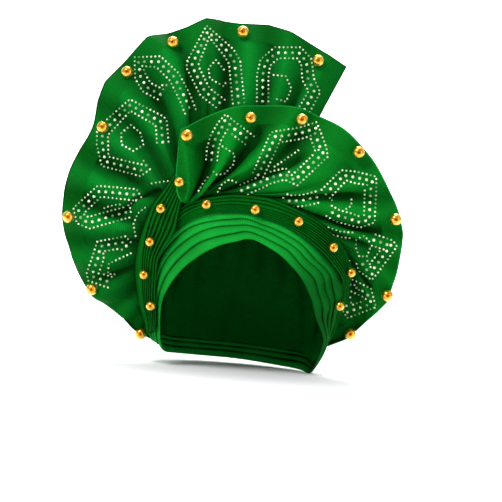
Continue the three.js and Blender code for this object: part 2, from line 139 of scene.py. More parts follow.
def from_photo(places):
    """The places in metres of photo places."""
    across, down, depth = np.moveaxis(np.array(places), -1, 0)
    depth = depth / 1000
    pixel = PIXEL * (depth - EYE[1]) / PIXEL_DISTANCE
    across, down = (across - PHOTO_MIDDLE) * pixel, (down - PHOTO_MIDDLE) * pixel
    x = EYE[0] + across * math.cos(TILT) + down * math.sin(TILT)
    z = EYE[2] + across * math.sin(TILT) - down * math.cos(TILT)
    return np.stack([x, depth, z], axis=-1)


def drawn_in(places, distance):
    """Places moved towards the head's middle, by distances in millimetres."""
    return places + unit(HEAD_MIDDLE - places) * np.array(distance)[..., None] / 1000


def half_millimetres(places):
    """Places to the nearest half millimetre, or the whole one where it is within WHOLE_REACH."""
    whole = np.round(places * 1000)
    near = np.abs(places * 1000 - whole) < WHOLE_REACH
    return np.where(near, whole, np.round(places * 2000) / 2) / 1000


def along_table(table, stations, closed=False):
    """Smooth values between the rows of a table, at fractional row numbers."""
    rows = len(table)
    low = np.minimum(stations.astype(int), rows - 1 if closed else rows - 2)
    t = (stations - low).reshape(-1, *[1] * (table.ndim - 1))
    pick = (lambda i: table[i % rows]) if closed else (lambda i: table[np.clip(i, 0, rows - 1)])
    a, b, c, d = (pick(low + k) for k in (-1, 0, 1, 2))
    return 0.5 * (2 * b + (c - a) * t + (2 * a - 5 * b + 4 * c - d) * t**2 + (3 * b - a - 3 * c + d) * t**3)


def smooth_step(x, low, high):
    t = np.clip((x - low) / (high - low), 0, 1)
    return t * t * (3 - 2 * t)


def unit(vectors):
    return vectors / np.linalg.norm(vectors, axis=-1, keepdims=True)


def window(x, rise, fall):
    """1 between the two stretches where it rises from 0 and falls back to 0."""
    return smooth_step(x, *rise) * (1 - smooth_step(x, *fall))


def face_normals(points, outwards, closed=False):
    """Unit normals of a grid of points (columns, rows, xyz), on the side that outwards points to."""
    if closed:
        across = np.roll(points, -1, axis=0) - np.roll(points, 1, axis=0)
    else:
        across = np.gradient(points, axis=0)
    normals = unit(np.cross(across, np.gradient(points, axis=1)) + 1e-12)
    side = np.sum(normals * outwards, axis=-1, keepdims=True)
    return np.where(side < 0, -normals, normals)


def run_length(points, axis):
    """Length along the cloth from the first point of a grid, in metres."""
    steps = np.linalg.norm(np.diff(points, axis=axis), axis=-1)
    lengths = np.cumsum(steps, axis=axis)
    return np.concatenate([np.zeros_like(np.take(lengths, [0], axis=axis)), lengths], axis=axis)


def fold_painted_light(points, normals, reach, depth, closed=False):
    """Painted light from how far each point stands up from the cloth round it: 0, painted shade, in a fold's
    valley, 1, painted highlight, on its ridge.
    """
    last = len(points) - 1
    index = np.arange(len(points))
    turn = (lambda i: i % (last + 1)) if closed else (lambda i: np.clip(i, 0, last))
    around = (points[turn(index - reach)] + points[turn(index + reach)]) / 2
    stands = np.sum((points - around) * normals, axis=-1)
    return np.clip(0.5 + 0.5 * stands / depth, 0, 1)


def cloth_piece(name, points, outwards, layout, painted_light, edge, thickness, closed=False):
    """Cloth of one thickness on a grid of points, with its layout in metres as the UV map."""
    columns, rows = points.shape[:2]
    index = np.arange(columns * rows).reshape(columns, rows)
    if closed:
        index = np.vstack([index, index[:1]])
    quads = np.stack([index[:-1, :-1], index[1:, :-1], index[1:, 1:], index[:-1, 1:]], axis=-1)
    spots = np.arange(layout.shape[0] * rows).reshape(-1, rows)
    corners = np.stack([spots[:-1, :-1], spots[1:, :-1], spots[1:, 1:], spots[:-1, 1:]], axis=-1)
    middle = points[columns // 2, rows // 2]
    beside, above = points[columns // 2 + 1, rows // 2], points[columns // 2, rows // 2 + 1]
    turn = np.cross(beside - middle, above - middle)
    if np.dot(turn, outwards[columns // 2, rows // 2]) < 0:
        quads, corners = quads[..., ::-1], corners[..., ::-1]
    mesh = bpy.data.meshes.new(name)
    mesh.from_pydata(points.reshape(-1, 3).tolist(), [], quads.reshape(-1, 4).tolist())
    uv_map = mesh.uv_layers.new(name="layout")
    uv_map.data.foreach_set("uv", layout.reshape(-1, 2)[corners.reshape(-1)].astype(np.float32).ravel())
    # The painted light of the folds (painted shade in the valleys, painted highlight on the ridges) is kept
    # on the points as the fold attribute, with the distance from the edge.
    for label, values in (("fold", painted_light), ("edge", edge)):
        attribute = mesh.attributes.new(label, "FLOAT", "POINT")
        attribute.data.foreach_set("value", values.astype(np.float32).ravel())
    piece = bpy.data.objects.new(name, mesh)
    bpy.context.scene.collection.objects.link(piece)
    bpy.ops.object.select_all(action="DESELECT")
    bpy.context.view_layer.objects.active = piece
    piece.select_set(True)
    bpy.ops.object.mode_set(mode="EDIT")
    bpy.ops.mesh.select_all(action="SELECT")
    bpy.ops.mesh.remove_doubles(threshold=SAME_PLACE)
    bpy.ops.object.mode_set(mode="OBJECT")
    bpy.ops.object.modifier_add(type="SOLIDIFY")
    wall = piece.modifiers[-1]
    wall.thickness = thickness
    wall.offset = 0
    wall.use_even_offset = False
    bpy.ops.object.modifier_apply(modifier=wall.name)
    bpy.ops.object.shade_smooth_by_angle(angle=SHARP_EDGE)
    return piece


def linear(red, green, blue):
    """Linear colour of an sRGB colour given from 0 to 255."""
    return tuple((c / 255) ** 2.2 for c in (red, green, blue)) + (1.0,)


CLOTH_ROUGHNESS = 0.65
CLOTH_SPECULAR = 0.02
CLOUD_SCALE = 26.0
CLOUD_SHARE = 0.7
THREAD_SCALE = 1900.0
THREAD_SHARE = 0.2
RIB_WAVER = 0.5
RIB_WAVER_SCALE = 0.06
RIB_BUMP = 0.75
WEAVE_STRENGTH = 0.6
WEAVE_HEIGHT = 0.0003
WEAVE_LEVEL = 0.9
HEM_BLUR = 0.0008
# Width and strength of a thin painted line along the cloth's edge.
PAINTED_EDGE_WIDTH = 0.0013
PAINTED_EDGE_SHARE = 0.7
HEM_LIT_SHARE = 0.55


def new_finish(name, **inputs):
    """A material with these inputs of its shader set; an underscore stands for a space."""
    material = bpy.data.materials.new(name)
    material.use_nodes = True
    shader = material.node_tree.nodes["Principled BSDF"]
    for key, value in inputs.items():
        shader.inputs[key.replace("_", " ")].default_value = value
    return material, material.node_tree, shader


def add_node(tree, kind, **settings):
    new = tree.nodes.new(kind)
    for key, value in settings.items():
        if key in new.inputs:
            new.inputs[key].default_value = value
        else:
            setattr(new, key, value)
    return new


def feed(tree, sockets, values):
    """Link or set each input socket, whichever its value calls for."""
    for socket, value in zip(sockets, values):
        if isinstance(value, bpy.types.NodeSocket):
            tree.links.new(value, socket)
        else:
            socket.default_value = value


def brocade(
    name, shade_colour, lit, hem=None, rib_pitch=0.0018, rib_way="Y", rib_depth=0.30, hem_width=0.0, painted_edge_colour=None
):
    """Ribbed green brocade: painted shade in the folds, painted light on the ridges, with a plain hem along
    a free edge.
    """
    material, tree, shader = new_finish(
        name, Roughness=CLOTH_ROUGHNESS, Specular_IOR_Level=CLOTH_SPECULAR
    )

    def mix(factor, first, second, how="MIX"):
        new = add_node(tree, "ShaderNodeMix", data_type="RGBA", blend_type=how)
        feed(tree, (new.inputs[0], new.inputs[6], new.inputs[7]), (factor, first, second))
        return new.outputs[2]

    def maths(how, *values, clamp=False):
        new = add_node(tree, "ShaderNodeMath", operation=how, use_clamp=clamp)
        feed(tree, new.inputs, values)
        return new.outputs[0]

    layout = add_node(tree, "ShaderNodeUVMap", uv_map="layout").outputs[0]
    place = add_node(tree, "ShaderNodeTexCoord").outputs["Object"]
    fold = add_node(tree, "ShaderNodeAttribute", attribute_name="fold").outputs["Fac"]
    edge = add_node(tree, "ShaderNodeAttribute", attribute_name="edge").outputs["Fac"]

    ribs = add_node(
        tree,
        "ShaderNodeTexWave",
        bands_direction=rib_way,
        Scale=math.pi / 10 / rib_pitch,
        Distortion=RIB_WAVER,
        Detail=1.0,
    )
    ribs.inputs["Detail Scale"].default_value = RIB_WAVER_SCALE
    tree.links.new(layout, ribs.inputs["Vector"])
    cloud = add_node(tree, "ShaderNodeTexNoise", Scale=CLOUD_SCALE, Detail=3.0)
    tree.links.new(place, cloud.inputs["Vector"])
    thread = add_node(tree, "ShaderNodeTexNoise", Scale=THREAD_SCALE, Detail=1.0)
    tree.links.new(place, thread.inputs["Vector"])
    ribs, cloud, thread = ribs.outputs["Fac"], cloud.outputs["Fac"], thread.outputs["Fac"]

    # Painted light: the folds' painted shade and highlight, with a random cloudy tone, mix the shaded colour
    # into the lit one.
    level = maths("ADD", fold, maths("MULTIPLY", maths("SUBTRACT", cloud, 0.5), CLOUD_SHARE), clamp=True)
    colour = mix(level, shade_colour, lit)
    if hem_width:
        inside = add_node(tree, "ShaderNodeMapRange", interpolation_type="SMOOTHSTEP")
        tree.links.new(edge, inside.inputs["Value"])
        inside.inputs["From Min"].default_value = hem_width - HEM_BLUR
        inside.inputs["From Max"].default_value = hem_width + HEM_BLUR
        plain = mix(level, hem, mix(HEM_LIT_SHARE, hem, lit))
        colour = mix(inside.outputs["Result"], plain, colour)
        # A thin painted line along the cloth's edge: painted shade in the shaded colour, or a painted
        # highlight in a light edge colour where one is given.
        turned = maths("MULTIPLY", maths("LESS_THAN", edge, PAINTED_EDGE_WIDTH), PAINTED_EDGE_SHARE)
        colour = mix(turned, colour, painted_edge_colour or shade_colour)
    grain = maths("ADD", maths("MULTIPLY", ribs, rib_depth), maths("MULTIPLY", thread, THREAD_SHARE))
    colour = mix(1.0, colour, maths("ADD", grain, WEAVE_LEVEL - rib_depth / 2), "MULTIPLY")
    tree.links.new(colour, shader.inputs["Base Color"])

    height = maths("ADD", maths("MULTIPLY", ribs, RIB_BUMP), maths("MULTIPLY", thread, 1 - RIB_BUMP))
    bump = add_node(tree, "ShaderNodeBump", Strength=WEAVE_STRENGTH, Distance=WEAVE_HEIGHT)
    tree.links.new(height, bump.inputs["Height"])
    tree.links.new(bump.outputs["Normal"], shader.inputs["Normal"])
    return material


def head_form(directions):
    """Distance from the head's middle to its surface, in each direction."""
    rise = np.where(directions[..., 2] > 0, HEAD_RISE, HEAD_DROP)
    total = (
        np.abs(directions[..., 0] / HEAD_HALF_WIDTH) ** HEAD_ROUNDNESS
        + np.abs(directions[..., 1] / HEAD_HALF_DEPTH) ** HEAD_ROUNDNESS
        + np.abs(directions[..., 2] / rise) ** HEAD_ROUNDNESS
    )
    return total ** (-1 / HEAD_ROUNDNESS)


def cap_edge():
    """The cap's edge: under the other pieces in front, and between the band's edges at the nape."""
    left, front, right = (np.array(rows) for rows in (CAP_LEFT_END, CAP_EDGE_FRONT, CAP_RIGHT_END))
    inner, outer = np.moveaxis(np.array(NAPE_EDGES) / 1000, 1, 0)
    rear = outer + (inner - outer) * CAP_NAPE_SHARE
    places = np.concatenate([left[:, :3] / 1000, from_photo(front[:, :3]), right[:, :3] / 1000, rear])
    inwards = [*left[:, 3], *front[:, 3], *right[:, 3], *[CAP_NAPE_DRAWN_IN] * len(rear)]
    return half_millimetres(drawn_in(places, inwards))


def cap_grid():
    edge = cap_edge()
    stations = np.arange(CAP_COLUMNS) / CAP_COLUMNS * len(edge)
    edge = along_table(edge, stations, closed=True) - HEAD_MIDDLE
    reach = np.linalg.norm(edge, axis=1)[:, None]
    start = unit(edge)[:, None, :]
    angle = np.arccos(start @ CROWN)[..., None]
    v = np.linspace(0, 1, CAP_ROWS)[None, :, None]
    direction = unit((np.sin((1 - v) * angle) * start + np.sin(v * angle) * CROWN) / np.sin(angle))
    rest = head_form(direction) + CAP_CLEARANCE
    settle = smooth_step(v[..., 0], 0, CAP_SETTLE)
    radius = reach + (rest - reach) * settle
    turn = np.arctan2(direction[..., 0], direction[..., 1])
    v = v[..., 0]
    rear = smooth_step(direction[..., 1], *CAP_GATHER_SIDE) * smooth_step(v, *CAP_GATHER_RISE) * (1 - v)
    wander = CAP_WANDER * np.sin(CAP_WANDER_TURNS * turn)
    gather = np.sin(CAP_GATHERS * turn + wander) + 0.5 * np.sin(CAP_SMALL_GATHERS * turn + 1)
    radius = radius + CAP_GATHER_HEIGHT * rear * (CAP_GATHER_LIFT + gather)
    return direction * radius[..., None] + HEAD_MIDDLE


cap_points = cap_grid()
cap_outwards = cap_points - HEAD_MIDDLE
cap_normals = face_normals(cap_points, cap_outwards, closed=True)
cap_ring = np.concatenate([cap_points, cap_points[:1]])
cap_layout = np.stack([run_length(cap_ring, 0), run_length(cap_ring, 1)], axis=-1)
cap = cloth_piece(
    "crown_cap_cloth",
    cap_points,
    cap_outwards,
    cap_layout,
    fold_painted_light(cap_points, cap_normals, CAP_FOLD_REACH, CAP_FOLD_DEPTH, closed=True),
    run_length(cap_points, 1),
    CAP_CLOTH,
    closed=True,
)
# Shaded and lit colours of the same green, for painted shade and painted light.
cap.data.materials.append(brocade("crown cloth", linear(1, 44, 10), linear(5, 88, 26)))
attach(cap, "root")
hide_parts("crown_cap")

# Forehead band: four broad, soft pleats that lie over one another like tiles, closest to the
# brow. They are laid in the same brocade, with its ribs across the pleats, and run
# round the temples to the nape.
BAND_CLOTH = 0.0008
BAND_COLUMNS = 420
BAND_STEP = 0.0024
BAND_BULGE = 0.0016
PLEAT_PROFILE = (
    (0.16, 0.04),
    (0.05, 0.30),
    (-0.03, 0.64),
    (0.01, 0.90),
    (0.11, 1.00),
    (0.28, 0.94),
    (0.48, 0.76),
    (0.70, 0.48),
    (0.90, 0.20),
    (1.04, 0.05),
)
# Each row is a place along the band: its inner and its outer edge, as photo places.
BAND_FRONT = (
    ((162.4, 341, -30.5), (152, 335, -5)),
    ((161.6, 325, -36), (151, 322, -8)),
    ((162.4, 309, -41), (150, 307, -12)),
    ((164.8, 298, -47.5), (149, 292, -18)),
    ((168.8, 288.7, -55.5), (149, 277, -26)),
    ((176, 277.6, -65), (151, 260, -37)),
    ((185.5, 266.4, -73), (158, 243, -50)),
    ((198.3, 256.8, -79), (172, 226, -64)),
    ((209.4, 249.7, -82), (189, 214.5, -77)),
    ((222.2, 244, -83), (209, 209.5, -84)),
    ((236.5, 240.4, -83.5), (229, 208.5, -86)),
    ((247, 238.3, -83), (246, 209.5, -86.5)),
    ((257, 240, -82.5), (263, 215, -86)),
    ((270, 247.3, -83), (283, 222.5, -84.5)),
    ((281.2, 255.2, -82), (303.6, 234.5, -81)),
    ((291, 265, -80), (320, 248, -75)),
    ((300, 276, -75.5), (332, 262, -67)),
    ((306.8, 288.7, -69.5), (340, 275, -58)),
    ((311.6, 299.9, -63), (343, 288, -50)),
    ((313.2, 309.4, -57), (341, 299, -42)),
    ((316, 319, -49), (337.5, 310, -33)),
    ((320, 330, -36), (332, 324, -20)),
    ((321.5, 341, -20), (326.5, 338, -4)),
    ((317, 356, 2), (319, 353, 16)),
)
BAND_PLEAT_EDGES = np.array((0.0, 0.27, 0.51, 0.71, 1.0))
BAND_SLOPE_PAINTED_LIGHT = 0.8
BAND_SHADED = 0.74
BAND_SHADE = ((12.5, 17.5), (24, 26))
BAND_LEFT_SHADED = 0.18
BAND_LEFT_SHADE = (5, 10)
BAND_RIGHT_SIDE = ((13, 16), (22, 25))
BAND_SWAY = 0.035
BAND_SWAY_RATE = 2.4
BAND_SWAY_SHARES = (0, 1, 1.4, 1.2, 0)
BAND_WAVER = 0.012
BAND_WAVER_RATE = 1.9
BAND_WAVER_SHARES = (0, 1, -0.6, 0.8, 0)
PLEAT_STEP_RANGE = (0.6, 1.3)
SLOPE_END = (0.62, 0.98)
SLOPE_SHADE = 0.9
# Painted shade under each pleat's lip and at the end of its slope, and a painted highlight on its crown.
LIP_PAINTED_SHADE = 0.1
LIP_REACH = 0.2
LIP_HEIGHT = 0.5
LIP_OVERHANG = 0.02
CROWN_TIGHTNESS = 4


def edge_table(in_front, behind, inwards=0):
    """Inner and outer edge in metres, from photo places in front and millimetres behind the head."""
    behind = np.round(drawn_in(np.array(behind) / 1000, inwards), 4)
    return np.moveaxis(np.concatenate([half_millimetres(from_photo(in_front)), behind]), 1, 0)


def pleated_grid(inner, outer, edges, step, bulge, closed):
    """Grid of points over tile-like pleats. edges gives each pleat's low edge as a share of the width."""
    columns, pleats = len(inner), edges.shape[1] - 1
    shares, lifts, steps = [], [], []
    for k in range(pleats):
        low, high = edges[:, k], edges[:, k + 1]
        for along, lift in PLEAT_PROFILE[2 if k == 0 else 0:]:
            shares.append(np.clip(low + along * (high - low), -LIP_OVERHANG, 1.0))
            lifts.append(np.full(columns, lift))
            steps.append(step * np.clip((high - low) * pleats, *PLEAT_STEP_RANGE))
    share = np.stack(shares, 1)[..., None]
    lift = (np.stack(lifts, 1) * np.stack(steps, 1))[..., None]
    flat = inner[:, None] + (outer - inner)[:, None] * share
    even = inner[:, None] + (outer - inner)[:, None] * np.linspace(0, 1, flat.shape[1])[None, :, None]
    normals = face_normals(even, even - HEAD_MIDDLE, closed)
    return flat + normals * (bulge * 4 * share * (1 - share) + lift), normals


def pleat_painted_light(bodies):
    """Painted light of the pleats: a painted highlight on each pleat's crown, painted shade under its lip
    and towards the end of its slope; bodies says how light the slope between them is painted.
    """
    profile = []
    for k in range(bodies.shape[1]):
        for along, lift in PLEAT_PROFILE[2 if k == 0 else 0:]:
            slope = 1 - SLOPE_SHADE * smooth_step(np.array(along), *SLOPE_END)
            under = LIP_PAINTED_SHADE if lift < LIP_HEIGHT and along < LIP_REACH else 1.0
            crown = (1 - bodies[:, k]) * lift**CROWN_TIGHTNESS
            profile.append((bodies[:, k] + crown) * slope * under)
    return np.stack(profile, axis=1)


def strip_layout(points, closed):
    ring = np.concatenate([points, points[:1]]) if closed else points
    along = run_length(ring.mean(axis=1, keepdims=True), 0)
    return np.stack([np.broadcast_to(along, ring.shape[:2]), run_length(ring, 1)], axis=-1)


band_inner, band_outer = edge_table(BAND_FRONT, NAPE_EDGES)
band_stations = np.arange(BAND_COLUMNS) / BAND_COLUMNS * len(band_inner)
band_inner, band_outer = (along_table(edge, band_stations, closed=True) for edge in (band_inner, band_outer))
right_side = window(band_stations, *BAND_RIGHT_SIDE)
sway = BAND_SWAY * right_side * np.sin(BAND_SWAY_RATE * band_stations)
waver = BAND_WAVER * np.sin(BAND_WAVER_RATE * band_stations)
band_edges = (
    BAND_PLEAT_EDGES + np.outer(sway, BAND_SWAY_SHARES) + np.outer(waver, BAND_WAVER_SHARES)
)
band_shade = (
    1
    - BAND_SHADED * window(band_stations, *BAND_SHADE)
    - BAND_LEFT_SHADED * (1 - smooth_step(band_stations, *BAND_LEFT_SHADE))
)
band_points, band_normals = pleated_grid(
    band_inner, band_outer, band_edges, BAND_STEP, BAND_BULGE, closed=True
)
band = cloth_piece(
    "forehead_band_cloth",
    band_points,
    band_normals,
    strip_layout(band_points, True),
    pleat_painted_light(np.full((BAND_COLUMNS, len(BAND_PLEAT_EDGES) - 1), BAND_SLOPE_PAINTED_LIGHT)) * band_shade[:, None],
    run_length(band_points, 1),
    BAND_CLOTH,
    closed=True,
)
# Shaded and lit colours of the same green, for painted shade and painted light.
band.data.materials.append(
    brocade(
        "band cloth",
        linear(1, 38, 8),
        linear(24, 142, 48),
        rib_pitch=0.0014,
        rib_way="X",
        rib_depth=0.45,
    )
)
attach(band, "root")
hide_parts("forehead_band")

# Sashes: the two long ends of the cloth, folded into narrow pleats, crossed over the left
# brow and drawn round the head to the nape, over the outer edge of the band. The left one's
# last pleat opens out wide below the crossing.
SASH_CLOTH = 0.0006
SASH_STEP = 0.0019
SASH_BULGE = 0.0014
SASH_COLUMNS_PER_STATION = 14
# Each row is a place along a sash, its inner and its outer edge: photo places in front, then
# millimetres round the back, where each edge is also drawn in by so many millimetres.
RIGHT_SASH_FRONT = (
    ((178, 231, -73), (183, 205, -78)),
    ((186, 224.5, -79.5), (191, 200.5, -82)),
    ((194, 218.5, -85), (200, 198, -84.5)),
    ((209.4, 214.5, -88.5), (215, 196, -86)),
    ((228, 212.5, -90), (234, 194.5, -86)),
    ((246, 213.5, -90.5), (255, 196, -85.5)),
    ((264, 218.5, -90), (275, 200, -84)),
    ((284, 226, -88), (300, 211, -78)),
    ((304, 238, -86.5), (320, 224, -69)),
    ((320, 252, -81), (335, 238, -58)),
    ((332, 265.5, -73.5), (345, 252, -47)),
    ((341, 279, -63), (350, 268, -36)),
    ((340.5, 289.5, -44), (348.5, 282, -27)),
    ((340.6, 299.3, -39), (345.5, 296, -17)),
    ((337.2, 310.3, -30), (341, 309, -7)),
    ((331.8, 324.3, -17), (335.5, 324, 5)),
    ((326, 338.3, -1), (330, 338, 20)),
)
RIGHT_SASH_BEHIND = (
    ((83, 22, -128.5), (86, 30, -111.5)),
    ((78, 48, -128), (81, 53, -111)),
    ((62.5, 76, -128), (64.5, 80, -111)),
    ((36, 95, -127.5), (37.5, 98.5, -111)),
    ((3.5, 102, -127.5), (3.5, 105, -111)),
)
RIGHT_SASH_DRAWN_IN = ((0, 0), (0, 1.5), (1.5, 2.3), (2.4, 1.7), (2.6, 0.6))
LEFT_SASH_FRONT = (
    ((186, 196, -86), (183, 161, -85)),
    ((181, 204, -85), (174, 174, -84)),
    ((178, 215, -83.5), (163, 190, -80)),
    ((176.5, 226, -80), (153, 204, -72)),
    ((172.5, 236, -75), (145, 223, -60)),
    ((165, 248.6, -68.5), (141, 235, -53)),
    ((159.5, 258, -62), (137, 250, -44.5)),
    ((157, 270, -55.5), (135.2, 263, -37)),
    ((156.2, 283, -49), (135.3, 277.6, -28.5)),
    ((155.7, 299.6, -43.5), (137, 293, -20)),
    ((157, 309, -41), (139.3, 306, -13)),
    ((157.3, 319, -39.5), (145, 322, -6)),
    ((154.3, 330, -40), (148.2, 330.5, -2)),
)
LEFT_SASH_BEHIND = (
    ((-84.5, -1, -127), (-86.5, 19, -113)),
    ((-82.5, 29, -127.5), (-85.5, 37, -111)),
    ((-74, 61, -127.5), (-76, 66, -111)),
    ((-56, 84, -127.5), (-57.5, 88, -111)),
    ((-29.5, 98.5, -127.5), (-30.5, 101.5, -111)),
    ((-3.5, 102, -127.5), (-3.5, 105, -111)),
)
LEFT_SASH_DRAWN_IN = ((0, 0), (2.2, 4), (4, 6), (5.4, 5), (4.3, 2.7), (3, 0.8))
RIGHT_PLEAT_EDGES_HIGH = np.array((0.0, 0.07, 0.14, 0.21, 0.28, 0.35, 0.43, 0.62, 0.81, 1.0))
RIGHT_PLEAT_EDGES_LOW = np.linspace(0, 1, 10)
LEFT_PLEAT_EDGES_HIGH = np.linspace(0, 1, 8)
LEFT_PLEAT_EDGES_LOW = np.array((0.0, 0.10, 0.20, 0.30, 0.39, 0.48, 0.56, 1.0))
NARROW_PLEAT_PAINTED_LIGHT = 0.04
WIDE_PLEAT_PAINTED_LIGHT = 0.75
WIDE_PLEAT = (0.12, 0.17)
PLEAT_WOBBLE = 0.010
PLEAT_WOBBLE_RATE = 1.3
PLEAT_WOBBLE_TURN = 1.7
RIGHT_SASH_NARROWS = (5, 10)
LEFT_SASH_OPENS = (3, 8)


def sash(name, node, course, edges):
    last = course.shape[1] - 1
    stations = np.linspace(0, last, last * SASH_COLUMNS_PER_STATION + 1)
    inner, outer = (along_table(edge, stations) for edge in course)
    edges = edges(stations)
    widths = np.diff(edges, axis=1)
    # Painted shade: narrow pleats are painted nearly dark, as shade falls between them, and wide ones are
    # painted lighter.
    wide = smooth_step(widths, *WIDE_PLEAT)
    sash_pleat_light = NARROW_PLEAT_PAINTED_LIGHT + (WIDE_PLEAT_PAINTED_LIGHT - NARROW_PLEAT_PAINTED_LIGHT) * wide
    turn = np.arange(edges.shape[1]) * PLEAT_WOBBLE_TURN
    wobble = PLEAT_WOBBLE * np.sin(PLEAT_WOBBLE_RATE * stations[:, None] + turn)
    wobble[:, [0, -1]] = 0
    points, normals = pleated_grid(inner, outer, edges + wobble, SASH_STEP, SASH_BULGE, closed=False)
    piece = cloth_piece(
        name,
        points,
        normals,
        strip_layout(points, False),
        pleat_painted_light(sash_pleat_light),
        run_length(points, 1),
        SASH_CLOTH,
    )
    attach(piece, "root")
    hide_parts(node)
    return piece


def right_edges(stations):
    narrowed = smooth_step(stations, *RIGHT_SASH_NARROWS)[:, None]
    return RIGHT_PLEAT_EDGES_HIGH + (RIGHT_PLEAT_EDGES_LOW - RIGHT_PLEAT_EDGES_HIGH) * narrowed


def left_edges(stations):
    opened = smooth_step(stations, *LEFT_SASH_OPENS)[:, None]
    return LEFT_PLEAT_EDGES_HIGH + (LEFT_PLEAT_EDGES_LOW - LEFT_PLEAT_EDGES_HIGH) * opened


right_sash = sash(
    "right_sash_cloth",
    "right_sash",
    edge_table(RIGHT_SASH_FRONT, RIGHT_SASH_BEHIND, RIGHT_SASH_DRAWN_IN),
    right_edges,
)
left_sash = sash(
    "left_sash_cloth",
    "left_sash",
    edge_table(LEFT_SASH_FRONT, LEFT_SASH_BEHIND, LEFT_SASH_DRAWN_IN),
    left_edges,
)
# Shaded and lit colours of the same green, for painted shade and painted light.
sash_brocade = brocade("sash cloth", linear(1, 14, 2), linear(8, 86, 22), rib_pitch=0.0016, rib_way="X")
right_sash.data.materials.append(sash_brocade)
left_sash.data.materials.append(sash_brocade)

# Back fan: the wide end of the cloth, spread behind the crown in a high pleated fan. Its folds
# start under the sashes and open towards the rim, which is turned in as a plain flat hem.
FAN_CLOTH = 0.0010
FAN_COLUMNS_PER_FOLD = 12
FAN_ROWS = 90
FAN_HEM = 0.020
FAN_HEM_STEP = 0.0005
GATHER_HEIGHT = 0.0008
GATHERS_PER_FOLD = 2.5
RIPPLE_HEIGHT = 0.0006
RIM_SHARPNESS = 0.6
ROOT_SHADE = 0.3
ROOT_SHADE_REACH = 0.45
GATHER_REACH = 0.16
GATHERS_START = 2
ANGULAR_START = 1.5
RIPPLES_PER_FOLD = 0.8
RIPPLE_WANDER = 0.35
RIPPLED = ((0.05, 0.3), (0.6, 0.85))
FOLD_LINE_START = (-0.04, 0.08)
FOLD_LINE_END = (-0.12, 0.08)
FAN_FOLD_DEPTH = 0.011
HEM_STEP_BLUR = 0.001
LAYOUT_ROW = 20
# Each row is a fold, from the left: photo places at its root, half-way up and at the rim.
BACK_FAN_FOLDS = (
    ((156, 331, 4), (150, 335.5, 5), (153, 339, 6)),
    ((152, 322, -3), (141, 330, -3), (143.8, 334.6, -3)),
    ((148.5, 310, -10), (133.5, 323, -9), (137, 330.3, -8)),
    ((145, 298, -19), (125.5, 312, -16), (125, 319, -15)),
    ((138.6, 288, -20), (117, 301, -17), (106, 304, -8)),
    ((137.8, 276, -26.2), (108, 292, -29), (92, 295.5, -23)),
    ((138.2, 265, -32.7), (102, 277, -27), (80.5, 276, -15)),
    ((139.5, 254.5, -39.5), (100, 260, -41), (72, 256, -33)),
    ((141.6, 244.5, -46), (103, 242, -38), (65.5, 235.5, -22)),
    ((144.4, 234, -52), (107, 224, -51), (62.4, 214, -40)),
    ((148.5, 222.3, -59), (119, 213.5, -46), (64.3, 191, -28)),
    ((153.6, 210.5, -66.5), (127, 194, -61), (69.5, 170.5, -47)),
    ((163, 208, -75), (134, 179, -55), (79.5, 150, -34)),
    ((169, 203, -79), (136, 158, -67), (92.5, 127, -52)),
    ((175, 200, -81), (143, 140, -60), (98, 101.5, -38)),
    ((180, 198, -82), (149, 122, -68), (105, 82.3, -52)),
    ((184, 197, -82), (158, 98, -60), (121, 66.2, -38)),
    ((187, 198, -81), (177, 85, -66), (147, 37.7, -50)),
    ((190, 201, -80.5), (188, 84, -60), (166, 34.3, -38)),
    ((194, 205, -80), (203, 88, -64), (188.5, 26.5, -47)),
    ((201, 208, -80.5), (214, 84, -60), (206, 18.8, -38)),
    ((210, 202, -81.7), (228, 84, -56), (222, 21, -31)),
    ((220, 201, -81.9), (247, 88, -64), (243, 24.2, -45)),
    ((230, 200.7, -81.9), (263, 93, -56), (269, 25.6, -30)),
    ((240, 201, -81.9), (277, 96, -60), (290, 31.8, -41)),
    ((250, 202, -81.5), (291, 105, -54), (311, 44.4, -29)),
    ((260, 203.5, -81), (300, 112, -58), (330, 56, -37)),
    ((270, 206, -80), (309, 135, -54), (345.9, 67, -28)),
)
# Fold lines of a fan: height and half width (in folds) of the fold, how much lighter it is painted
# (painted highlight, or painted shade where it is below nought), and its course as (share of the way
# from root to rim, fold row). One with no height only paints shade.
BACK_FOLD_LINES = (
    (-0.0042, 0.28, -0.6, ((0, 14.9), (0.1, 13.1), (0.29, 11.7), (0.4, 10.8), (0.47, 10.2), (0.6, 9.6))),
    (-0.002, 0.22, -0.25, ((0, 6), (0.45, 6))),
    (-0.002, 0.22, -0.25, ((0, 8.2), (0.45, 8))),
    (-0.0025, 0.25, -0.3, ((0, 16.2), (0.25, 16.2), (0.6, 15.9))),
    (-0.0025, 0.25, -0.3, ((0, 18), (0.4, 18), (0.6, 18.1))),
    (-0.002, 0.3, -0.25, ((0.1, 21), (0.6, 21))),
    (-0.002, 0.25, -0.25, ((0.1, 23.2), (0.6, 23.1))),
    (-0.002, 0.25, -0.25, ((0.1, 25), (0.6, 25.2))),
    (0.0015, 0.5, 0.05, ((0.3, 22.2), (0.85, 22.1))),
    (0, 0.9, -0.45, ((0.15, 19), (0.6, 18.9))),
    (0.0012, 0.5, 0.2, ((0.3, 17.2), (0.8, 17.3))),
    (0.0012, 0.6, 0.2, ((0.2, 9.3), (0.4, 9), (0.8, 8.6))),
    (0, 2.4, -0.6, ((0, 10.2), (0.12, 10))),
)


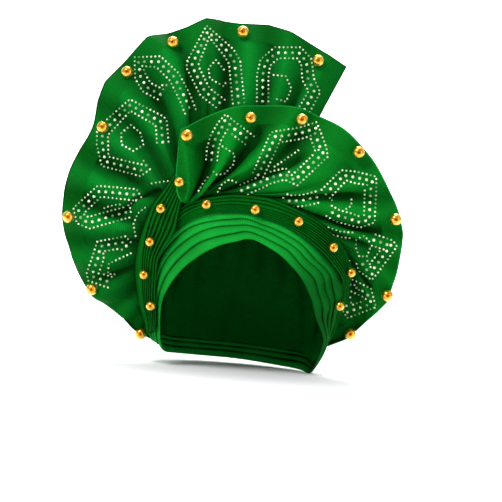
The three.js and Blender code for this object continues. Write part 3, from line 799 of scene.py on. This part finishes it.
def fan_grid(folds, fold_lines, seed, gathered_from, angular_from):
    """Grid of points on a fan, and the painted shade and highlight that its root and each fold line put
    there.
    """
    table = half_millimetres(from_photo(folds))
    last = len(table) - 1
    stations = np.linspace(0, last, last * FAN_COLUMNS_PER_FOLD + 1)
    t = np.linspace(0, 1, FAN_ROWS + 1)[None, :, None]
    root, belly, rim = (along_table(table[:, k], stations)[:, None] for k in range(3))
    straight = [np.interp(stations, np.arange(last + 1), table[:, 2, k]) for k in range(3)]
    angular = RIM_SHARPNESS * smooth_step(stations, angular_from, angular_from + ANGULAR_START)
    rim = rim + (np.stack(straight, axis=-1)[:, None] - rim) * angular[:, None, None]
    points = root * (1 - t) * (1 - 2 * t) + belly * 4 * t * (1 - t) + rim * t * (2 * t - 1)
    forwards = np.zeros_like(points)
    forwards[..., 1] = -1
    normals = face_normals(points, forwards)
    t, u = t[..., 0], stations[:, None]
    # Two slow waves, so that no two folds are alike.
    wander = np.sin(0.9 * u + seed) + 0.6 * np.sin(0.37 * u + 2 * seed)
    gathers = np.sin(2 * math.pi * GATHERS_PER_FOLD * u + wander) * np.exp(-t / GATHER_REACH)
    gathers = gathers * smooth_step(u, gathered_from, gathered_from + GATHERS_START)
    ripple = np.sin(2 * math.pi * (RIPPLES_PER_FOLD * u + RIPPLE_WANDER * wander * t)) * window(t, *RIPPLED)
    lift = GATHER_HEIGHT * gathers + RIPPLE_HEIGHT * ripple
    shade = -ROOT_SHADE * (1 - smooth_step(t, 0.0, ROOT_SHADE_REACH)) * np.ones_like(lift)
    for height, width, light, course in fold_lines:
        shares, places = zip(*course)
        middle = np.interp(t, shares, places)
        fade = window(t, np.add(shares[0], FOLD_LINE_START), np.add(shares[-1], FOLD_LINE_END))
        bell = np.exp(-(((u - middle) / width) ** 2)) * fade
        lift = lift + height * bell
        shade = shade + light * bell
    return points + normals * lift[..., None], forwards, shade


def fan(name, node, points, forwards, shade, hemmed_side, flat, area, rests_on):
    rim_distance = run_length(points[:, ::-1], 1)[:, ::-1]
    side_distance = run_length(points, 0)
    if hemmed_side == "last":
        side_distance = side_distance[-1] - side_distance
    edge = np.minimum(rim_distance, side_distance)
    normals = face_normals(points, forwards)
    hemmed = 1 - smooth_step(edge, FAN_HEM - HEM_STEP_BLUR, FAN_HEM + HEM_STEP_BLUR)
    points = points + normals * (FAN_HEM_STEP * hemmed)[..., None]
    along = np.broadcast_to(run_length(points[:, -LAYOUT_ROW:1 - LAYOUT_ROW], 0), rim_distance.shape)
    piece = cloth_piece(
        name,
        points,
        forwards,
        np.stack([along, rim_distance], axis=-1),
        np.clip(fold_painted_light(points, normals, FAN_COLUMNS_PER_FOLD, FAN_FOLD_DEPTH) + shade, 0, 1),
        edge,
        FAN_CLOTH,
    )
    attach(piece, "root")
    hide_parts(node)
    return piece


back_fan = fan(
    "back_fan_cloth",
    "back_fan",
    *fan_grid(BACK_FAN_FOLDS, BACK_FOLD_LINES, seed=1.0, gathered_from=7, angular_from=12.5),
    hemmed_side="last",
    flat=(0.56, 0.165),
    area=0.060,
    rests_on=["crown_cap_cloth", "left_sash_cloth"],
)
# Shaded and lit colours of the same green, for painted shade and painted light.
back_fan.data.materials.append(
    brocade(
        "fan cloth",
        linear(2, 44, 10),
        linear(12, 110, 36),
        linear(8, 74, 20),
        rib_pitch=0.0019,
        hem_width=FAN_HEM,
    )
)

# Front fan: the second end of the cloth, spread low over the right brow in front of the back
# fan. Its folded left edge stands up over the crossing, and its folds run out to the right.
FRONT_FAN_FOLDS = (
    ((181, 201, -93), (176, 179, -95), (181.5, 130.7, -89)),
    ((184, 202.5, -94), (189, 172, -98), (185.5, 127.2, -93)),
    ((187, 203, -92.5), (206, 176, -85), (205, 117, -78)),
    ((190, 201.5, -92), (222, 162, -96), (236, 106.5, -89)),
    ((194.5, 199, -90), (240, 154, -82), (272, 105.4, -72)),
    ((200, 195.5, -88.3), (253, 161, -91), (299, 107.8, -82)),
    ((207, 194, -86.5), (265, 171, -80), (316, 115.4, -70)),
    ((215, 193.4, -86.2), (284, 177, -88), (345, 130, -78)),
    ((228, 192.6, -85.2), (300, 187, -81), (370, 156.5, -67)),
    ((243, 193, -84.6), (305, 192, -82), (383, 178, -70)),
    ((258, 196.6, -83), (318, 199, -72), (392.5, 197, -54)),
    ((275, 202, -81.5), (325, 208, -75), (399.6, 216, -61)),
    ((291, 208.5, -77.5), (341, 225, -62), (402.8, 232.5, -46)),
    ((307.5, 217.3, -71.5), (352.5, 236, -60), (401.7, 249, -53)),
    ((323, 228.5, -63.5), (361.5, 251.5, -47), (398, 267, -36)),
    ((339, 242.6, -50), (370, 265, -42), (393, 285, -40)),
    ((347.5, 255.5, -39.2), (371, 285, -31), (387, 302, -26)),
    ((351, 269, -31.5), (369.5, 299, -27), (377.5, 312, -28)),
    ((349.5, 283, -22.5), (365, 308, -16), (367.5, 320.5, -17)),
    ((340, 299, -22), (358, 317, -7), (356.5, 331, -11)),
    ((336, 311, -14), (350, 327, 0), (345.5, 338.5, -4)),
    ((331, 325, 0), (343.5, 335.5, 8.5), (338.5, 341.3, 5)),
    ((323, 339, 10), (329.5, 344, 20), (323, 346.5, 14)),
)
FRONT_FOLD_LINES = (
    (0.0012, 0.09, 0.95, ((0.02, 1), (0.18, 1.1), (0.39, 1), (0.59, 0.9), (0.8, 0.8))),
    (-0.0012, 0.36, -0.4, ((0, 0.6), (0.8, 0.4))),
    (-0.0035, 0.16, -0.5, ((0, 1.7), (0.24, 1.6), (0.45, 1.8), (0.62, 2), (0.76, 2.2))),
    (0.0015, 0.45, 0.4, ((0.1, 2.4), (0.3, 2.9), (0.53, 2.9), (0.67, 2.9), (0.85, 3.1))),
    (-0.0045, 0.2, -0.45, ((0.05, 3.2), (0.19, 4.2), (0.36, 4.3), (0.53, 4.2), (0.66, 4.3))),
    (-0.0045, 0.18, -0.5, ((0, 6.2), (0.19, 6), (0.36, 6.1), (0.48, 6.3), (0.59, 6.5), (0.74, 6.6))),
    (-0.002, 0.15, -0.4, ((0, 5.1), (0.35, 5.2))),
    (-0.002, 0.15, -0.4, ((0, 7.3), (0.4, 7.2))),
    (0.0015, 0.6, 0.2, ((0.3, 7.6), (0.8, 7.9))),
    (-0.0035, 0.18, -0.55, ((0.05, 9.9), (0.2, 9.9), (0.42, 9.5), (0.6, 9.6), (0.8, 9.7))),
    (0.001, 0.5, 0.2, ((0.3, 10.8), (0.8, 11))),
    (-0.0045, 0.2, -0.65, ((0, 11.3), (0.21, 11.4), (0.3, 11.7), (0.39, 11.8), (0.54, 12.1), (0.76, 12))),
    (-0.003, 0.2, -0.5, ((0, 13.8), (0.21, 13.8), (0.41, 13.5), (0.65, 13.4))),
    (-0.0025, 0.25, -0.4, ((0, 16.2), (0.6, 16.2))),
)
front_fan = fan(
    "front_fan_cloth",
    "front_fan",
    *fan_grid(FRONT_FAN_FOLDS, FRONT_FOLD_LINES, seed=2.6, gathered_from=2, angular_from=15),
    hemmed_side="first",
    flat=(0.42, 0.115),
    area=0.030,
    rests_on=["right_sash_cloth", "back_fan_cloth"],
)
# Shaded and lit colours of the same green, for painted shade and painted light.
front_fan.data.materials.append(
    brocade(
        "front fan cloth",
        linear(2, 44, 10),
        linear(14, 114, 34),
        linear(10, 80, 22),
        rib_pitch=0.0019,
        hem_width=FAN_HEM,
        # painted highlight along the front fan's edge
        painted_edge_colour=linear(24, 122, 44),
    )
)

# Stones: small flat-backed glass stones, fixed with heat in traditional petal and hexagon
# shapes. Each shape has two rows of small stones with a row of larger ones between them, and
# a single small ring inside. They are laid out as they show from in front.
SMALL_STONE = 0.0020
LARGE_STONE = 0.0029
STONE_SIDES = 8
STONE_HEIGHT = 0.4
STONE_CLEARANCE = 0.0004
SMALL_PITCH = 0.0037
LARGE_PITCH = 0.0063
ROW_GAP = 0.0052
STONE_TABLE = 0.55
FAN_DEPTH = -60
# Corners of the motifs, in photo pixels across and down, on a plane at FAN_DEPTH millimetres.
BACK_PETALS = (
    ((244.7, 102.8), (241.8, 79), (240.8, 61.3), (233.9, 49.4), (206.2, 25.7), (188.4, 59.3), (186.4, 68),
     (200, 95), (218, 109)),
    ((257, 102), (256.6, 75), (261, 60), (274.4, 47.4), (300.1, 47.1), (312, 59.3), (314, 77),
     (319.9, 92.9), (309, 113)),
    ((158, 100), (143, 91), (135, 79), (134.5, 57.3), (160.7, 56.3), (178.5, 73), (190, 96), (197, 112)),
    ((168, 142), (166.9, 121.5), (163.6, 116.5), (130.4, 99.6), (106.4, 119.9), (96.4, 131.5),
     (97.3, 144.7), (102.2, 165.5), (140.9, 176.2), (152, 167.9)),
    ((141, 197), (136, 189.5), (98.1, 186.2), (73.2, 208.6), (76.5, 222.7), (89.8, 229), (129.6, 217.7)),
    ((131, 242.6), (125.5, 236), (97.3, 241.7), (92.3, 255.8), (87.3, 272.4), (88, 281), (110, 288)),
)
BACK_RINGS = (
    ((224, 70), (216, 60), (209, 68), (210, 78), (224, 86), (227, 80)),
    ((274, 75), (286, 76), (291, 89), (286, 102), (274, 98)),
    ((161, 96), (161, 85), (169.6, 85), (178.5, 95), (182, 107)),
    ((130.4, 125.3), (140.4, 132.3), (143.2, 145.6), (133.7, 150.5), (121.3, 144.7), (121.3, 133.4),
     (130.4, 125.3)),
    ((99.8, 214.4), (104.7, 207.7), (118, 204.4), (129.6, 205.3), (131.3, 211), (127.9, 217.7),
     (108, 216.9), (99.8, 214.4)),
    ((131.3, 253.3), (108.9, 263.3), (108.5, 273.3), (116.3, 274.1)),
    ((176, 180), (160, 182), (150, 184)),
    ((136, 236), (133, 225), (138, 214), (146, 207)),
)
FRONT_PETALS = (
    ((206, 160), (206.6, 148), (210, 136.4), (218.2, 123.2), (225.7, 114.9), (238.1, 124.8), (255, 137.3)),
    ((253.1, 172.1), (261.4, 154.7), (271.3, 133.1), (276.3, 130.6), (299.5, 127.3), (316.9, 122.3),
     (319.4, 128.1), (326, 148), (327.7, 156.3), (297.8, 185.4), (284, 180), (272, 183), (258, 190),
     (243, 196)),
    ((321.1, 189.5), (341, 170.4), (355.9, 171.3), (375.8, 177.1), (376.6, 189.5), (374.1, 222.7),
     (359.2, 227.6), (347.6, 224.3), (336, 221), (326, 216)),
    ((318, 203), (305, 206.5), (288, 207), (279, 203)),
    ((375.8, 234.3), (393.2, 240.1), (397.3, 246.7), (378.3, 272.4), (371.6, 279.9), (359.2, 271.6),
     (355.9, 260.8)),
    ((352.6, 279.9), (370.8, 289), (375.8, 307.2), (347.6, 318), (341, 308.9)),
)
FRONT_RINGS = (
    ((222.4, 146.4), (234, 154.7), (233.2, 164.6), (224.9, 172.9), (217, 175), (212, 170)),
    ((208, 178), (203, 184), (198, 193)),
    ((352, 233), (340, 231), (328, 227)),
    ((350, 238), (342, 237), (335, 236)),
    ((274.6, 166.3), (299.5, 149.7)),
    ((217.4, 191.2), (221.5, 184.5), (229.8, 179.5), (241.5, 184.5)),
    ((331.8, 196.1), (331, 204.4), (343.4, 211.1), (351.7, 205.3), (351.7, 195.3)),
    ((355.9, 239.3), (364.2, 235.9), (371.6, 244.2), (367.5, 256.7), (359.2, 256.7), (355.1, 247.5),
     (355.9, 239.3)),
    ((347.6, 280.7), (360, 287.4), (358.4, 292.3), (349.3, 298.1)),
    ((306, 217.7), (322.7, 229.3), (332.7, 234.3), (349.3, 259.2)),
)


def moved_in(corners, distance):
    """A line of corners moved sideways towards the middle of its petal."""
    corners = np.array(corners)
    ways = unit(np.gradient(corners, axis=0))
    sideways = np.stack([-ways[:, 1], ways[:, 0]], axis=1)
    inwards = np.mean(corners, axis=0) - corners
    if np.sum(sideways * inwards) < 0:
        sideways = -sideways
    return corners + sideways * distance


def spaced(corners, pitch):
    """Evenly spaced places along a line of corners."""
    corners = np.array(corners)
    lengths = run_length(corners, 0)
    stops = np.arange(0, lengths[-1], pitch)
    return np.stack([np.interp(stops, lengths, corners[:, k]) for k in (0, 1)], axis=1)


def flat_places(corners):
    """Places across and up, to a millimetre, of motif corners on the plane at the fans' depth."""
    return np.round(from_photo([(x, y, FAN_DEPTH) for x, y in corners])[:, (0, 2)], 3)


def stone_shape(diameter):
    """Corners and faces of a cut stone: a wide girdle, a sloping crown, a flat table and a flat back."""
    angles = np.arange(STONE_SIDES) * 2 * math.pi / STONE_SIDES
    ring = np.stack([np.cos(angles), np.sin(angles), np.zeros(STONE_SIDES)], axis=1) * diameter / 2
    crown = ring * STONE_TABLE + (0, 0, diameter * STONE_HEIGHT)
    turned = [(k, (k + 1) % STONE_SIDES) for k in range(STONE_SIDES)]
    sides = [(a, b, b + STONE_SIDES, a + STONE_SIDES) for a, b in turned]
    table, back = tuple(range(STONE_SIDES, 2 * STONE_SIDES)), tuple(reversed(range(STONE_SIDES)))
    return np.concatenate([ring, crown]), [*sides, table, back]


def stones(name, cloth, petals, rings, seed):
    chance = np.random.default_rng(seed)
    cloth_tree = BVHTree.FromObject(cloth, bpy.context.evaluated_depsgraph_get())
    places = []
    eye = Vector(EYE)
    for corners in map(flat_places, petals):
        places += [(x, z, SMALL_STONE) for x, z in spaced(corners, SMALL_PITCH)]
        places += [(x, z, LARGE_STONE) for x, z in spaced(moved_in(corners, ROW_GAP), LARGE_PITCH)]
        places += [(x, z, SMALL_STONE) for x, z in spaced(moved_in(corners, 2 * ROW_GAP), SMALL_PITCH)]
    for corners in map(flat_places, rings):
        places += [(x, z, SMALL_STONE) for x, z in spaced(corners, SMALL_PITCH)]
    apart = []
    for x, z, size in sorted(places, key=lambda place: -place[2]):
        if all(math.hypot(x - a, z - b) > STONE_CLEARANCE + (size + c) / 2 for a, b, c in apart):
            apart.append((x, z, size))
    corners, faces, glint = [], [], []
    shapes = {size: stone_shape(size) for size in (SMALL_STONE, LARGE_STONE)}
    for x, z, size in apart:
        sight = (Vector((x, FAN_DEPTH / 1000, z)) - eye).normalized()
        spot, normal, _, _ = cloth_tree.ray_cast(eye, sight)
        if spot is None:
            continue
        if normal.y > 0:
            normal = -normal
        turn = normal.to_track_quat("Z", "Y").to_matrix()
        shape, sides = shapes[size]
        start = len(corners)
        corners += [spot + turn @ Vector(corner) for corner in shape]
        faces += [tuple(start + k for k in side) for side in sides]
        glint += [chance.uniform(0, 1)] * len(shape)
    mesh = bpy.data.meshes.new(name)
    mesh.from_pydata(corners, [], faces)
    mesh.attributes.new("glint", "FLOAT", "POINT").data.foreach_set("value", glint)
    piece = bpy.data.objects.new(name, mesh)
    bpy.context.scene.collection.objects.link(piece)
    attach(piece, "root")
    return piece


def colour_ramp(tree, level, *stops):
    """Colours for a level from 0 to 1, with the first and the last stop on the ramp's own two."""
    ramp = add_node(tree, "ShaderNodeValToRGB")
    elements = ramp.color_ramp.elements
    elements[0].position, elements[0].color = stops[0]
    elements[1].position, elements[1].color = stops[-1]
    for place, colour in stops[1:-1]:
        elements.new(place).color = colour
    tree.links.new(level, ramp.inputs["Fac"])
    return ramp.outputs["Color"]


def stone_glass():
    material, tree, shader = new_finish("cut stones", Roughness=0.12, Specular_IOR_Level=0.7)
    glint = add_node(tree, "ShaderNodeAttribute", attribute_name="glint").outputs["Fac"]
    colour = colour_ramp(tree, glint, (0.0, (0.10, 0.30, 0.11, 1)), (0.9, (0.84, 0.90, 0.62, 1)))
    tree.links.new(colour, shader.inputs["Base Color"])
    return material


stone_finish = stone_glass()
for stone_set in (
    stones("back_fan_stones", back_fan, BACK_PETALS, BACK_RINGS, seed=11),
    stones("front_fan_stones", front_fan, FRONT_PETALS, FRONT_RINGS, seed=12),
):
    stone_set.data.materials.append(stone_finish)

# Beads: hollow gold-coloured balls, sewn through the cloth with a thread that pulls in at the
# hole in front. Larger ones follow the rims of both fans, smaller ones the two sashes.
BEAD_SEGMENTS = 32
BEAD_RINGS = 20
BEAD_HOLE = 0.16
BEAD_HOLE_DEPTH = 0.12
TARNISH_SCALE = 220.0
TARNISH_SHARE = 0.25
BEAD_ROUGHNESS = (0.20, 0.32)
BEAD_COUNTS = (("back_fan_bead", 8), ("front_fan_bead", 7), ("left_sash_bead", 5), ("right_sash_bead", 6))


def bead(name, centre, radius):
    bpy.ops.object.select_all(action="DESELECT")
    bpy.ops.mesh.primitive_uv_sphere_add(
        segments=BEAD_SEGMENTS,
        ring_count=BEAD_RINGS,
        radius=radius,
        location=centre,
        rotation=(math.pi / 2, 0, 0),
    )
    ball = bpy.context.object
    ball.name = name
    bpy.ops.object.transform_apply(location=True, rotation=True, scale=True)
    bpy.ops.object.mode_set(mode="EDIT")
    bpy.ops.mesh.select_all(action="DESELECT")
    bpy.ops.object.mode_set(mode="OBJECT")
    for corner in ball.data.vertices:
        corner.select = corner.co.y < centre.y - radius * math.cos(BEAD_HOLE)
    bpy.ops.object.mode_set(mode="EDIT")
    bpy.ops.mesh.select_mode(type="VERT")
    bpy.ops.transform.translate(value=(0, BEAD_HOLE_DEPTH * radius, 0))
    bpy.ops.object.mode_set(mode="OBJECT")
    bpy.ops.object.shade_smooth()
    # How far each point is from the hole in front, out to the rim and more behind, for the painted
    # reflection.
    from_hole = [
        math.hypot(c.co.x - centre.x, c.co.z - centre.z) / radius + (c.co.y > centre.y)
        for c in ball.data.vertices
    ]
    ball.data.attributes.new("from_hole", "FLOAT", "POINT").data.foreach_set("value", from_hole)
    return ball


def bead_gold():
    """Gold finish with a painted reflection and shade: dark copper in the thread hole and the middle as seen
    from in front, pale gold towards the rim, with random tarnish.
    """
    material, tree, shader = new_finish("bead gold", Metallic=1.0)
    place = add_node(tree, "ShaderNodeTexCoord")
    tarnish = add_node(tree, "ShaderNodeTexNoise", Scale=TARNISH_SCALE, Detail=2.0)
    tree.links.new(place.outputs["Object"], tarnish.inputs["Vector"])
    hole = add_node(tree, "ShaderNodeAttribute", attribute_name="from_hole")
    reflection_and_tarnish = add_node(tree, "ShaderNodeMath", operation="MULTIPLY_ADD")
    feed(tree, reflection_and_tarnish.inputs, (tarnish.outputs["Fac"], TARNISH_SHARE, hole.outputs["Fac"]))
    # Painted reflection and shade: dark copper in the hole and the middle as seen from in front, pale gold
    # towards the rim.
    colour = colour_ramp(
        tree,
        reflection_and_tarnish.outputs[0],
        (0.22, (0.22, 0.05, 0.004, 1)),
        (0.42, (0.72, 0.24, 0.015, 1)),
        (0.66, (0.93, 0.46, 0.05, 1)),
        (0.95, (1.0, 0.62, 0.14, 1)),
    )
    tree.links.new(colour, shader.inputs["Base Color"])
    wear = add_node(tree, "ShaderNodeMapRange")
    wear.inputs["To Min"].default_value, wear.inputs["To Max"].default_value = BEAD_ROUGHNESS
    tree.links.new(tarnish.outputs["Fac"], wear.inputs["Value"])
    tree.links.new(wear.outputs["Result"], shader.inputs["Roughness"])
    return material


gold = bead_gold()
for prefix, count in BEAD_COUNTS:
    names = [f"{prefix}_{k + 1}" for k in range(count)]
    balls = []
    for name in names:
        low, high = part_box(name)
        balls.append(bead(f"{name}_ball", (Vector(low) + Vector(high)) / 2, (high[1] - low[1]) / 2))
    bpy.ops.object.select_all(action="DESELECT")
    for ball in balls:
        ball.select_set(True)
    bpy.context.view_layer.objects.active = balls[0]
    bpy.ops.object.join()
    row = bpy.context.object
    row.name = f"{prefix}s_gold"
    row.data.materials.clear()
    row.data.materials.append(gold)
    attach(row, "root")
    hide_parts(*names)

# Floor and light: a plain pale floor under the head tie that curves up behind it, a pale
# room, soft lamps from the upper left, the right and above, and one on the curve behind.
FLOOR_GAP = 0.001
FLOOR_LEVEL = cad_box[0][2] - FLOOR_GAP
SWEEP_WIDTH = 6.0
SWEEP_FRONT = -4.0
SWEEP_BACK = 2.4
SWEEP_BEND = 0.8
SWEEP_TOP = 4.0
SWEEP_BEND_POINTS = 13


def floor_sweep():
    bend = [
        (SWEEP_BACK - SWEEP_BEND + SWEEP_BEND * math.sin(a), FLOOR_LEVEL + SWEEP_BEND * (1 - math.cos(a)))
        for a in np.linspace(0, math.pi / 2, SWEEP_BEND_POINTS)
    ]
    line = [(SWEEP_FRONT, FLOOR_LEVEL), *bend, (SWEEP_BACK, SWEEP_TOP)]
    corners = [(side * SWEEP_WIDTH / 2, y, z) for y, z in line for side in (-1, 1)]
    faces = [(2 * k, 2 * k + 1, 2 * k + 3, 2 * k + 2) for k in range(len(line) - 1)]
    mesh = bpy.data.meshes.new("floor")
    mesh.from_pydata(corners, [], faces)
    floor = bpy.data.objects.new("floor", mesh)
    bpy.context.scene.collection.objects.link(floor)
    for face in mesh.polygons:
        face.use_smooth = True
    mesh.materials.append(new_finish("white paper", Base_Color=(0.95, 0.95, 0.95, 1), Roughness=0.9)[0])
    return floor


floor_sweep()


def soft_lamp(name, place, aim, size, power):
    lamp = bpy.data.lights.new(name, "AREA")
    lamp.shape = "DISK"
    lamp.size = size
    lamp.energy = power
    stand = bpy.data.objects.new(name, lamp)
    stand.location = place
    stand.rotation_euler = (Vector(place) - Vector(aim)).to_track_quat("Z", "Y").to_euler()
    bpy.context.scene.collection.objects.link(stand)


LAMP_AIM = (0, 0, 0)
ROOM_COLOUR = (0.93, 0.96, 1.0, 1)
ROOM_STRENGTH = 0.6
soft_lamp("key lamp", (-0.9, -1.5, 1.3), LAMP_AIM, size=0.8, power=34)
soft_lamp("fill lamp", (1.5, -1.4, 0.5), LAMP_AIM, size=1.2, power=7)
soft_lamp("top lamp", (0.1, 0.3, 2.0), LAMP_AIM, size=1.4, power=16)
soft_lamp("backdrop lamp", (0, 1.2, 1.9), (0, SWEEP_BACK, 0.2), size=1.5, power=70)

world = bpy.data.worlds.new("pale room")
world.use_nodes = True
world.node_tree.nodes["Background"].inputs["Color"].default_value = ROOM_COLOUR
world.node_tree.nodes["Background"].inputs["Strength"].default_value = ROOM_STRENGTH
bpy.context.scene.world = world
bpy.context.scene.view_settings.view_transform = "Standard"

# Camera: looking level, from a little below the crown and 1.46 m in front of it, and leaning to
# one side as in the photo.
CAMERA_LENS = 111.55
CAMERA_SENSOR = 36
CAMERA_RANGE = 20
camera = bpy.data.cameras.new("camera")
camera.lens = CAMERA_LENS
camera.sensor_width = CAMERA_SENSOR
camera.clip_end = CAMERA_RANGE
viewer = bpy.data.objects.new("camera", camera)
sideways = Vector((math.cos(TILT), 0, math.sin(TILT)))
upwards = Vector((-math.sin(TILT), 0, math.cos(TILT)))
viewer.matrix_world = Matrix.Translation(Vector(EYE)) @ Matrix(
    (sideways, upwards, Vector((0, -1, 0)))
).transposed().to_4x4()
bpy.context.scene.collection.objects.link(viewer)
bpy.context.scene.camera = viewer
